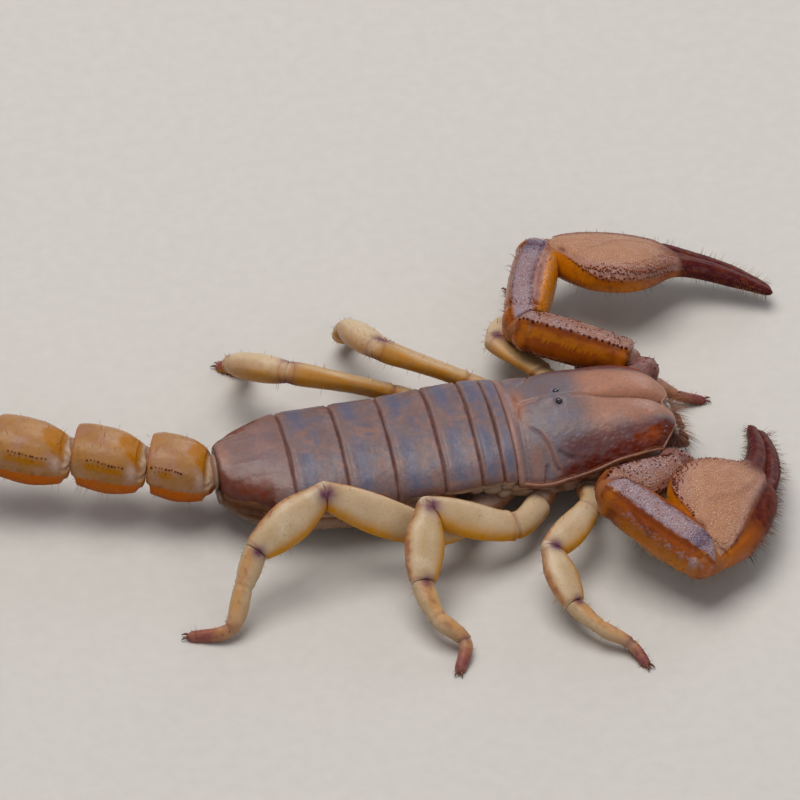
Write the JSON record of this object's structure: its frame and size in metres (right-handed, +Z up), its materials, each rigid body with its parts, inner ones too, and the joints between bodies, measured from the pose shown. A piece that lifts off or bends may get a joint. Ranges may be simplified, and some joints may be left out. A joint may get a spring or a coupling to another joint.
{
  "type": "desert scorpion",
  "caption": "Burrowing desert scorpion, life size and still: broad flat pincers drawn in beside the head, body low on its bent legs, tail stretched back and rising to the sting.",
  "frame": {"origin": "middle of the whole animal's outline, on the floor", "axes": "+X where the head looks, +Y the animal's left, +Z up"},
  "size_m": [0.0863, 0.0459, 0.0181],
  "materials": {
    "shell": "glossy horny shield, dark purple-brown, orange-brown at the front lobes",
    "limb": "glossy horny cuticle, amber to red-brown, with dark granules",
    "leg": "satin honey-yellow cuticle with purple joints and orange edges",
    "tail": "satin peach-brown cuticle with yellow windows and dark rows of granules",
    "eye": "polished black"
  },
  "bodies": {
    "root": {"carapace": "shell", "chelicera_left": "limb", "chelicera_right": "limb", "coxosternum": "limb", "eye_left": "eye", "eye_right": "eye", "leg_left_1_femur": "leg", "leg_left_1_patella": "leg", "leg_left_1_tarsus": "leg", "leg_left_2_femur": "leg", "leg_left_2_patella": "leg", "leg_left_2_tarsus": "leg", "leg_left_3_femur": "leg", "leg_left_3_patella": "leg", "leg_left_3_tarsus": "leg", "leg_left_4_femur": "leg", "leg_left_4_patella": "leg", "leg_left_4_tarsus": "leg", "leg_right_1_femur": "leg", "leg_right_1_patella": "leg", "leg_right_1_tarsus": "leg", "leg_right_2_femur": "leg", "leg_right_2_patella": "leg", "leg_right_2_tarsus": "leg", "leg_right_3_femur": "leg", "leg_right_3_patella": "leg", "leg_right_3_tarsus": "leg", "leg_right_4_femur": "leg", "leg_right_4_patella": "leg", "leg_right_4_tarsus": "leg", "mesosoma_1": "shell", "mesosoma_2": "shell", "mesosoma_3": "shell", "mesosoma_4": "shell", "mesosoma_5": "shell", "mesosoma_6": "shell", "mesosoma_7": "shell", "metasoma_1": "tail", "metasoma_2": "tail", "metasoma_3": "tail", "metasoma_4": "tail", "metasoma_5": "tail", "pecten_left": "leg", "pecten_right": "leg", "pedipalp_left_chela": "limb", "pedipalp_left_femur": "limb", "pedipalp_left_finger": "limb", "pedipalp_left_patella": "limb", "pedipalp_left_trochanter": "limb", "pedipalp_right_chela": "limb", "pedipalp_right_femur": "limb", "pedipalp_right_finger": "limb", "pedipalp_right_patella": "limb", "pedipalp_right_trochanter": "limb", "telson": "tail"}
  },
  "joints": []
}
